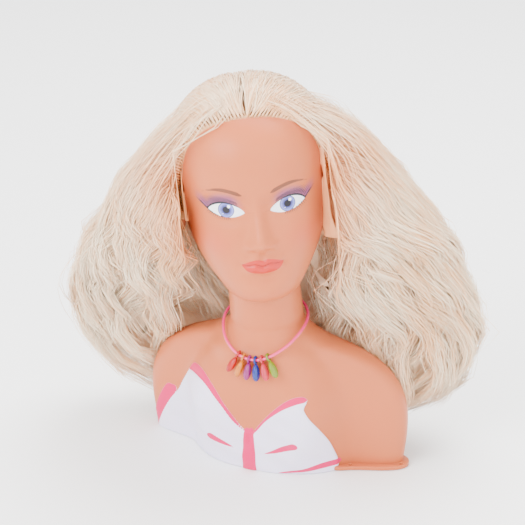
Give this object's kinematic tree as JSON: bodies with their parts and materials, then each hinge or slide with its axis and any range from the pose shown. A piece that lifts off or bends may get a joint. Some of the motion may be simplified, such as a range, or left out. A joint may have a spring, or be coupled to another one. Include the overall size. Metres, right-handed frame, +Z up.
{
  "type": "mannequin training head",
  "caption": "Hairdressing practice head with free rooted hair, turning on the neck of a hollow shoulder bust, with a cord necklace of drop charms.",
  "frame": {"origin": "on the underside of the base plate, in the middle of the shoulders' width", "axes": "+Z up, the bust's chest faces -Y, +X is the figure's own left side"},
  "size_m": [0.2645, 0.1376, 0.246],
  "materials": {
    "bust_shell": "satin vinyl",
    "base_plate": "satin",
    "base_screw_1": "plated screw steel",
    "base_screw_2": "plated screw steel",
    "base_screw_3": "plated screw steel",
    "base_screw_4": "plated screw steel",
    "suction_cup_1": "translucent",
    "suction_cup_2": "translucent",
    "suction_cup_3": "translucent",
    "suction_cup_4": "translucent",
    "neck_plug": "satin",
    "neck_washer": "plated screw steel",
    "neck_screw": "plated screw steel",
    "head_shell": "satin vinyl",
    "root_glue": "cured glue",
    "hair_crown": "glossy synthetic fibre",
    "hair_back_left": "glossy synthetic fibre",
    "hair_outer_left": "glossy synthetic fibre",
    "hair_front_left": "glossy synthetic fibre",
    "hair_back_right": "glossy synthetic fibre",
    "hair_outer_right": "glossy synthetic fibre",
    "hair_front_right": "glossy synthetic fibre",
    "necklace_cord": "glossy",
    "cord_joiner": "glossy",
    "charm_red": "clear tinted plastic",
    "charm_amber": "clear tinted plastic",
    "charm_purple": "clear tinted plastic",
    "charm_blue": "clear tinted plastic",
    "charm_coral": "clear tinted plastic",
    "charm_lime": "clear tinted plastic"
  },
  "bodies": {
    "bust": {"bust_shell": "bust_shell", "base_plate": "base_plate", "base_screw_1": "base_screw_1", "base_screw_2": "base_screw_2", "base_screw_3": "base_screw_3", "base_screw_4": "base_screw_4", "suction_cup_1": "suction_cup_1", "suction_cup_2": "suction_cup_2", "suction_cup_3": "suction_cup_3", "suction_cup_4": "suction_cup_4", "neck_plug": "neck_plug", "neck_washer": "neck_washer", "neck_screw": "neck_screw", "necklace_cord": "necklace_cord", "cord_joiner": "cord_joiner"},
    "head": {"head_shell": "head_shell", "root_glue": "root_glue", "hair_crown": "hair_crown", "hair_back_left": "hair_back_left", "hair_outer_left": "hair_outer_left", "hair_front_left": "hair_front_left", "hair_back_right": "hair_back_right", "hair_outer_right": "hair_outer_right", "hair_front_right": "hair_front_right"},
    "charm_red": {"charm_red": "charm_red"},
    "charm_amber": {"charm_amber": "charm_amber"},
    "charm_purple": {"charm_purple": "charm_purple"},
    "charm_blue": {"charm_blue": "charm_blue"},
    "charm_coral": {"charm_coral": "charm_coral"},
    "charm_lime": {"charm_lime": "charm_lime"}
  },
  "joints": [
    {"name": "head_turn", "type": "hinge", "parent": "bust", "child": "head", "pos_m": [0, -0.02439, 0.1305], "axis": [0, -0.2588, 0.9659], "range_deg": [-74, 26], "deforming": ["hair_back_left", "hair_outer_left", "hair_front_left", "hair_back_right", "hair_outer_right", "hair_front_right"]},
    {"name": "swing_red", "type": "hinge", "parent": "bust", "child": "charm_red", "pos_m": [-0.0078, -0.04336, 0.08078], "axis": [-0.887, 0.0643, 0.4573], "range_deg": [0, 45]},
    {"name": "swing_amber", "type": "hinge", "parent": "bust", "child": "charm_amber", "pos_m": [-0.00414, -0.04418, 0.07973], "axis": [-0.9588, 0.0395, 0.2813], "range_deg": [0, 45]},
    {"name": "swing_purple", "type": "hinge", "parent": "bust", "child": "charm_purple", "pos_m": [-0.0003, -0.04458, 0.07923], "axis": [-0.9954, 0.0133, 0.0949], "range_deg": [0, 45]},
    {"name": "swing_blue", "type": "hinge", "parent": "bust", "child": "charm_blue", "pos_m": [0.00359, -0.04451, 0.07935], "axis": [-0.9954, -0.0133, -0.0949], "range_deg": [0, 45]},
    {"name": "swing_coral", "type": "hinge", "parent": "bust", "child": "charm_coral", "pos_m": [0.00736, -0.04391, 0.0801], "axis": [-0.9588, -0.0395, -0.2813], "range_deg": [0, 45]},
    {"name": "swing_lime", "type": "hinge", "parent": "bust", "child": "charm_lime", "pos_m": [0.01079, -0.04261, 0.08142], "axis": [-0.887, -0.0643, -0.4573], "range_deg": [0, 45]}
  ]
}
